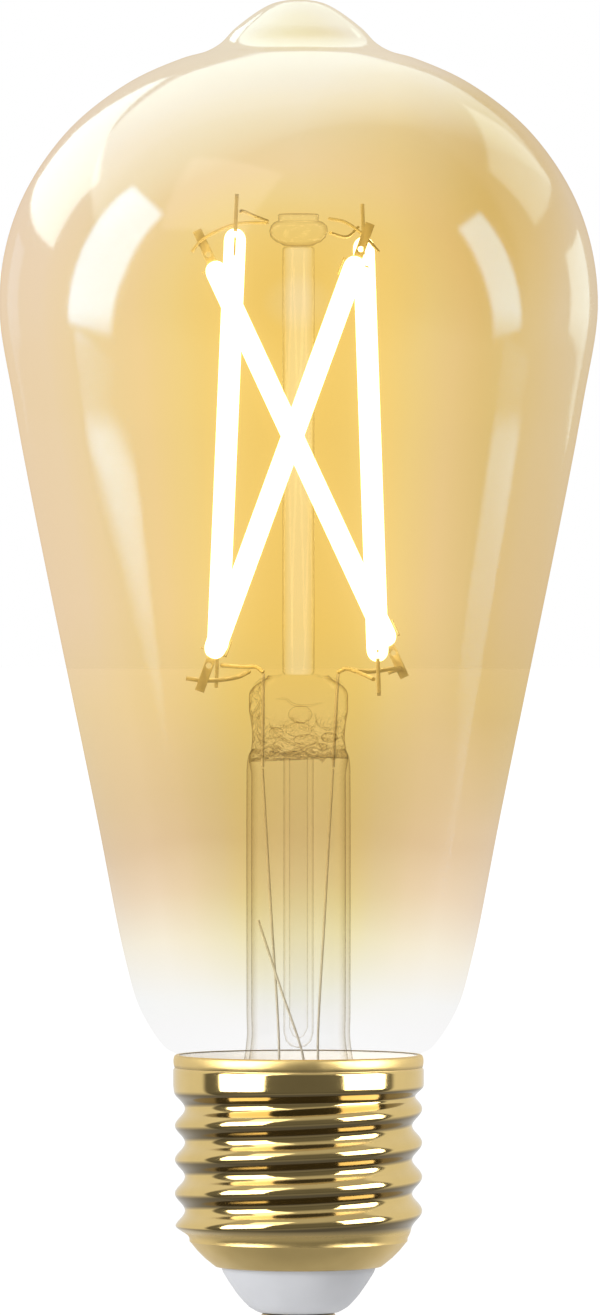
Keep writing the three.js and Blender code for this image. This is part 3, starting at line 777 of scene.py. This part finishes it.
def clip_part(turned_over):
    """A stamped pin with a round hole, and a thin cross-bar whose end is folded back along the stick."""
    half, bar = CLIP_HALF_WIDTH, CROSS_BAR_HALF
    outline = [(-half, -0.3), (half, -0.3), (half, CLIP_LENGTH), (-half, CLIP_LENGTH)]
    flat = plate([outline, circle(0, CLIP_HOLE_HEIGHT, CLIP_HOLE_RADIUS)], CLIP_DEPTH, 0.05)
    upright = Matrix(((1, 0, 0), (0, 0, -1), (0, 1, 0)))
    cross_bar = rounded_box((2 * bar, 0.2, 0.16), (0, 0, -0.42), 0.04)
    prong = rounded_box((0.14, 0.2, 1.9), (bar - 0.07, 0, -1.3), 0.04)
    part = joined(placed(flat, upright), cross_bar, prong)
    return placed(part, Matrix.Diagonal((-1, 1, 1))) if turned_over else part


def build_filaments():
    for name in FILAMENTS:
        foot, head, across, outward, along = filament_axes(name)
        length = (head - foot).length
        basis = Matrix((across, outward, along)).transposed()
        stick = placed(lathe(stick_profile(length), 28), basis, foot)
        new_piece(f"stick_{name}", stick, "phosphor", [f"filament_{name}_phosphor"])
        top = placed(clip_part(name == "left"), basis, head + along * 0.1)
        new_piece(f"clip_{name}_top", top, "nickel_wire", [f"filament_{name}_clip_top"])
        down = Matrix((-across, outward, -along)).transposed()
        bottom = placed(clip_part(name == "back"), down, foot - along * 0.1)
        new_piece(f"clip_{name}_bottom", bottom, "nickel_wire", [f"filament_{name}_clip_bottom"])


# ---------------------------------------------------------------------------------------------------
# Wires
# ---------------------------------------------------------------------------------------------------
def weld_point(name, at_head, distance, sideways=0.0):
    """A point just inside a clip, at a distance from the filament's end."""
    foot, head, across, outward, along = filament_axes(name)
    end = head + along * distance if at_head else foot - along * distance
    return end - outward * (CLIP_DEPTH / 2 + LEAD_RADIUS + 0.1) + across * sideways


def round_wire(name, points, radius, slot, node, weld_at=None):
    """A drawn wire along a smooth path, pinched a little where it is welded."""
    path = spline(points, 10)

    def pinch(share):
        if weld_at is None:
            return 1.0
        return 1.0 - 0.12 * math.exp(-(((share - weld_at) / 0.05) ** 2))

    new_piece(name, tube(path, radius, 14, pinch), slot, [node])


def build_wires():
    top = {
        "left": [(-3.3, -0.35, 119.35), (-4.4, -1.8, 119.7), weld_point("left", True, 2.4),
                 weld_point("left", True, 1.9, 0.9)],
        "back": [(-3.3, 0.35, 119.2), (-6.8, 4.2, 119.2), weld_point("back", True, 2.9),
                 weld_point("back", True, 2.2, -1.5)],
        "front": [(3.3, -0.35, 119.6), (5.1, -4.0, 119.0), weld_point("front", True, 2.6),
                  weld_point("front", True, 1.6, -1.9)],
        "right": [(3.4, 0.4, 118.1), (5.2, 4.8, 117.9), weld_point("right", True, 1.6)],
    }
    for name, points in top.items():
        round_wire(f"wire_top_{name}", points, TOP_WIRE_RADIUS, "nickel_wire", f"top_wire_{name}", WELD)
    leads = {
        "lead_left": [(-3.76, 0, 71.15), (-4.5, 0.5, 71.7), (-5.6, 1.4, 71.7),
                      weld_point("left", False, 1.7)],
        "lead_left_branch": [(-5.3, 0.4, 71.2), (-6.6, -2.4, 70.6), weld_point("front", False, 2.9),
                             weld_point("front", False, 3.3, 1.8)],
        "lead_right": [(4.22, 0, 71.15), (5.0, -0.4, 71.5), (6.2, -3.0, 71.2),
                       weld_point("right", False, 2.4)],
        "lead_right_branch": [(5.8, 0.1, 71.4), (7.6, 3.0, 71.2), weld_point("back", False, 3.0),
                              weld_point("back", False, 2.9, -1.4)],
    }
    for node, points in leads.items():
        round_wire(f"wire_{node}", points, LEAD_RADIUS, "nickel_wire", node, WELD)

    seals = {"left": [(-3.84, 0, 61.0), (-3.80, 0, 66.0), (-3.76, 0, 71.0)],
             "right": [(3.69, 0, 61.0), (3.95, 0, 66.0), (4.22, 0, 71.0)]}
    for side, points in seals.items():
        round_wire(f"wire_seal_{side}", points, SEAL_RADIUS, "copper_wire", f"seal_wire_{side}")
    thin = {
        "outer_lead_left": [(-3.84, 0, 60.85), (-2.95, 0, 46), (-2.08, 0, 30.8), (-2.2, -0.5, 26.5),
                            (-2.4, -0.9, 22.8)],
        "outer_lead_right": [(3.69, 0, 60.85), (2.85, 0, 46), (2.06, 0, 30.2), (2.4, -0.5, 26.5),
                             (2.6, -0.9, 23.2)],
        "antenna_wire": [(-4.3, -1.0, 44.7), (-1.9, -1.8, 37.4), (0.5, -2.4, 30.1), (0.6, -1.3, 27.0),
                         (0.8, 1.1, 23.9)],
    }
    for node, points in thin.items():
        round_wire(f"wire_{node}", points, OUTER_LEAD_RADIUS, "copper_wire", node)


# ---------------------------------------------------------------------------------------------------
# Cap
# ---------------------------------------------------------------------------------------------------
def shell_radius(z, angle):
    """Outer radius of the screw shell: a right-hand thread between the skirt and the collar."""
    turns = (z - THREAD_PHASE_HEIGHT) / THREAD_PITCH - angle / (2 * math.pi)
    crest = 0.5 + 0.5 * math.cos(2 * math.pi * turns)
    rise = smoothstep(z, THREAD_STARTS, THREAD_STARTS + THREAD_FADE)
    thread = THREAD_ROOT - ROOT_TAPER * (1 - rise) + (THREAD_CREST - THREAD_ROOT) * crest * rise
    return thread + (COLLAR_RADIUS - thread) * smoothstep(z, THREAD_ENDS, COLLAR_BASE)


SKIRT_TOP = 10.4
SKIRT = [(7.7, 8.7), (7.72, 8.9), (7.95, 9.2), (8.6, 10.0), (9.4, 10.8), (10.0, 11.3), (10.2, 11.45)]
COLLAR = [
    (27.15, 13.4), (27.4, 13.4), (28.6, 13.4), (28.75, 13.38), (28.85, 13.28), (28.95, 13.24), (29.1, 13.3),
    (29.4, 13.36), (29.8, 13.36), (30.1, 13.3), (30.25, 13.2), (30.3, 13.1),
]
THREAD_STEP = 0.15


def build_shell():
    """The rolled sheet, from rows of (height, radius). A thread row's radius follows the turn about Z."""
    segments = 144
    steps = int((COLLAR_BASE - SKIRT_TOP) / THREAD_STEP)
    thread = [(SKIRT_TOP + THREAD_STEP * k, None) for k in range(steps)]
    rows = SKIRT + thread + COLLAR
    verts, faces = [], []
    for inward, line in ((0, rows), (SHEET, rows[::-1])):
        for z, r in line:
            for i in range(segments):
                a = 2 * math.pi * i / segments
                rr = (r if r is not None else shell_radius(z, a)) - inward
                verts.append(Vector((rr * math.cos(a), rr * math.sin(a), z)))
    count = len(rows) * 2
    for j in range(count):
        k = (j + 1) % count
        for i in range(segments):
            n = (i + 1) % segments
            faces.append([j * segments + i, j * segments + n, k * segments + n, k * segments + i])
    new_piece("threaded_cap", (verts, faces), "gold_cap", ["screw_shell"])


CEMENT = [
    (11.44, 27.5), (11.5, 28.3), (11.72, 29.0), (12.06, 29.5), (12.5, 29.95), (12.75, 30.15), (13.0, 30.2),
    (13.02, 29.6), (13.02, 27.5),
]
INSULATOR = [
    (1.5, 2.85), (3.9, 2.8), (4.3, 2.84), (4.65, 3.0), (5.3, 3.4), (5.8, 3.9), (6.5, 4.7), (7.4, 6.0),
    (8.05, 7.05), (8.2, 7.4), (8.2, 8.35), (8.05, 8.5), (6.8, 8.5), (5.4, 6.4), (1.5, 5.8),
]
CONTACT = [
    (0, 0.0), (1.2, 0.0), (2.4, 0.05), (3.1, 0.3), (3.6, 0.75), (3.85, 1.2), (3.98, 1.9), (4.0, 2.55),
    (3.9, 2.7), (1.35, 2.7), (1.35, 6.0), (1.2, 6.2), (0, 6.2),
]


def build_cap_end():
    new_piece("cement_ring", lathe(CEMENT, 96, closed=True), "cement", ["cap_cement"])
    new_piece("cap_insulator", lathe(INSULATOR, 96, closed=True), "insulation", ["insulator"])

    def solder(r, z, a):
        return -0.04 * (1 + noise.noise(Vector((math.cos(a), math.sin(a), z)) * 1.5)) * (r > 1.6)

    new_piece("solder_contact", lathe(CONTACT, 64, wobble=solder), "contact_metal", ["centre_contact"])


dress_frame()
build_envelope()
build_flare()
build_press()
build_column()
build_filaments()
build_wires()
build_shell()
build_cap_end()


# ---------------------------------------------------------------------------------------------------
# Studio
# ---------------------------------------------------------------------------------------------------
def make_camera():
    data = bpy.data.cameras.new("camera")
    camera = bpy.data.objects.new("camera", data)
    scene.collection.objects.link(camera)
    camera.location = (CAMERA_ASIDE, -CAMERA_DISTANCE, CAMERA_HEIGHT)
    camera.rotation_euler = (math.radians(90), 0, 0)
    data.sensor_fit = "VERTICAL"
    data.sensor_height = SENSOR
    data.lens = SENSOR * CAMERA_DISTANCE / VIEW_HEIGHT
    data.clip_end = 200
    scene.camera = camera


def build_floor():
    s = Shader("floor")
    body = s.add("ShaderNodeBsdfDiffuse", Color=(0.3, 0.3, 0.3))
    glow = s.add("ShaderNodeEmission", Color=(1, 1, 1), Strength=0.88)
    both = s.add("ShaderNodeAddShader", i0=body.outputs[0], i1=glow.outputs[0])
    mesh = bpy.data.meshes.new("floor")
    mesh.from_pydata([(x, y, 0) for x, y in circle(0, 0, 60, 64)], [], [list(range(64))])
    mesh.materials.append(s.finish(both.outputs[0]))
    floor = bpy.data.objects.new("floor", mesh)
    scene.collection.objects.link(floor)
    floor.visible_glossy = False


ROOM_FRONT = 0.14
ROOM_BACK = 0.80
ROOM_CEILING = 0.5
ROOM_FLOOR = 0.36
ROOM_FLOOR_SHADE = 0.6


def build_world():
    """White behind the bulb, and for the reflections a room that is dark in front and light behind."""
    world = bpy.data.worlds.new("studio")
    scene.world = world
    world.use_nodes = True
    tree = world.node_tree
    tree.nodes.clear()

    def add(kind, **inputs):
        node = tree.nodes.new(kind)
        for key, value in inputs.items():
            socket = node.inputs[int(key[1:])]
            if isinstance(value, bpy.types.NodeSocket):
                tree.links.new(value, socket)
            else:
                socket.default_value = value
        return node

    direction = add("ShaderNodeTexCoord").outputs["Generated"]
    split = add("ShaderNodeSeparateXYZ", i0=direction)

    def ranged(axis, low, high, to_low, to_high):
        node = add("ShaderNodeMapRange", i0=split.outputs[axis], i1=low, i2=high, i3=to_low, i4=to_high)
        return node.outputs[0]

    def math_node(operation, a, b):
        node = add("ShaderNodeMath", i0=a, i1=b)
        node.operation = operation
        return node.outputs[0]

    walls = ranged("Y", 0.08, 0.17, ROOM_FRONT, ROOM_BACK)
    shaded = math_node("MULTIPLY", walls, ranged("Z", -0.75, -0.45, ROOM_FLOOR_SHADE, 1.0))
    above = ranged("Z", 0.35, 0.8, 0.0, ROOM_CEILING)
    ends = math_node("ADD", above, ranged("Z", -0.75, -0.45, ROOM_FLOOR, 0.0))
    room = add("ShaderNodeBackground", i0=(1, 1, 1, 1), i1=math_node("MAXIMUM", shaded, ends))
    white = add("ShaderNodeBackground", i0=(1, 1, 1, 1), i1=1.0)
    sight = add("ShaderNodeLightPath").outputs["Is Camera Ray"]
    mix = add("ShaderNodeMixShader", i0=sight, i1=room.outputs[0], i2=white.outputs[0])
    add("ShaderNodeOutputWorld", i0=mix.outputs[0])


def receivers(name, pieces):
    """The pieces that a lamp lights."""
    group = bpy.data.collections.new(name)
    for piece in pieces:
        group.objects.link(bpy.data.objects[piece])
    return group


def softbox(name, azimuth, elevation, distance, size, radiance, colour=(1, 1, 1), lit=None, roll=0.0,
            middle=110, spread=180, rise=0.0):
    """A lamp of a size in mm that faces the bulb's axis at the height middle. Azimuth 0 is the camera's
    side, roll turns the lamp in its own plane, and rise shifts it up there."""
    az, el = math.radians(azimuth), math.radians(elevation)
    towards = Vector((math.sin(az) * math.cos(el), -math.cos(az) * math.cos(el), math.sin(el)))
    data = bpy.data.lights.new(name, "AREA")
    data.shape = "RECTANGLE"
    data.size, data.size_y = size[0] * MM, size[1] * MM
    data.energy = radiance * math.pi * data.size * data.size_y
    data.color = colour
    data.spread = math.radians(spread)
    lamp = bpy.data.objects.new(name, data)
    scene.collection.objects.link(lamp)
    turn = towards.to_track_quat("Z", "Y").to_matrix() @ Matrix.Rotation(math.radians(roll), 3, "Z")
    lamp.location = (Vector((0, 0, middle)) + towards * distance + turn @ Vector((0, rise, 0))) * MM
    lamp.rotation_euler = turn.to_euler()
    if lit:
        lamp.light_linking.receiver_collection = lit


GLASS_LIGHT = (0.30, 0.60, 0.90)
DOME_LIGHT = (0.55, 0.75, 0.78)
WHITE_LIGHT = (1, 1, 1)


def build_lamps():
    glass = receivers("glass_receivers", ["glass_envelope"])
    cap = receivers("cap_receivers", ["threaded_cap"])
    shiny = ("glass_", "flare_tube", "exhaust_pipe", "threaded_cap", "stick_", "floor")
    pieces = [o.name for o in scene.objects if o.type == "MESH" and not o.name.startswith(shiny)]
    plain = receivers("plain_receivers", pieces)

    softbox("overhead", -150, 40, 400, (1400, 700), 3.4, DOME_LIGHT, glass, middle=125, spread=125, rise=350)
    softbox("shoulder_left", -134, 26, 500, (420, 215), 6.5, DOME_LIGHT, glass, middle=125, spread=140)
    softbox("window_left", -81, 14, 700, (300, 640), 17.0, GLASS_LIGHT, glass, roll=-16)
    softbox("window_right", 82, 9, 700, (185, 520), 12.0, GLASS_LIGHT, glass, roll=16)
    softbox("strip_left", -85, -15.5, 700, (290, 60), 17.0, GLASS_LIGHT, glass, roll=-22)
    softbox("strip_right", 95, -15.5, 700, (190, 90), 10.0, GLASS_LIGHT, glass)
    softbox("rim_left", -142, 3, 700, (170, 190), 1.5, GLASS_LIGHT, glass)
    softbox("shoulder_right", 128, 30, 500, (300, 180), 2.6, DOME_LIGHT, glass, middle=125, spread=150)
    softbox("rim_right", 138, 3, 700, (270, 200), 5.5, DOME_LIGHT, glass)
    softbox("panel_left", -54, 14, 500, (435, 480), 6.0, WHITE_LIGHT, cap, middle=20)
    softbox("panel_right", 64, 14, 500, (415, 480), 6.0, WHITE_LIGHT, cap, middle=20)
    softbox("front_fill", -50, 12, 1000, (700, 700), 6.0, WHITE_LIGHT, plain, middle=60)
    softbox("key", -40, 45, 1500, (900, 900), 1.5)


BLOOM_THRESHOLD = 1.6
BLOOM_STRENGTH = 0.06
BLOOM_SIZE = 0.25


def add_bloom():
    """The soft halo that the lit sticks leave in the lens."""
    scene.use_nodes = True
    tree = scene.node_tree
    tree.nodes.clear()
    layers = tree.nodes.new("CompositorNodeRLayers")
    glare = tree.nodes.new("CompositorNodeGlare")
    glare.glare_type = "BLOOM"
    glare.inputs["Threshold"].default_value = BLOOM_THRESHOLD
    glare.inputs["Strength"].default_value = BLOOM_STRENGTH
    glare.inputs["Size"].default_value = BLOOM_SIZE
    result = tree.nodes.new("CompositorNodeComposite")
    tree.links.new(layers.outputs["Image"], glare.inputs["Image"])
    tree.links.new(glare.outputs["Image"], result.inputs["Image"])


make_camera()
add_bloom()
build_floor()
build_world()
build_lamps()
scene.view_settings.view_transform = "Standard"
scene.cycles.transparent_max_bounces = 32
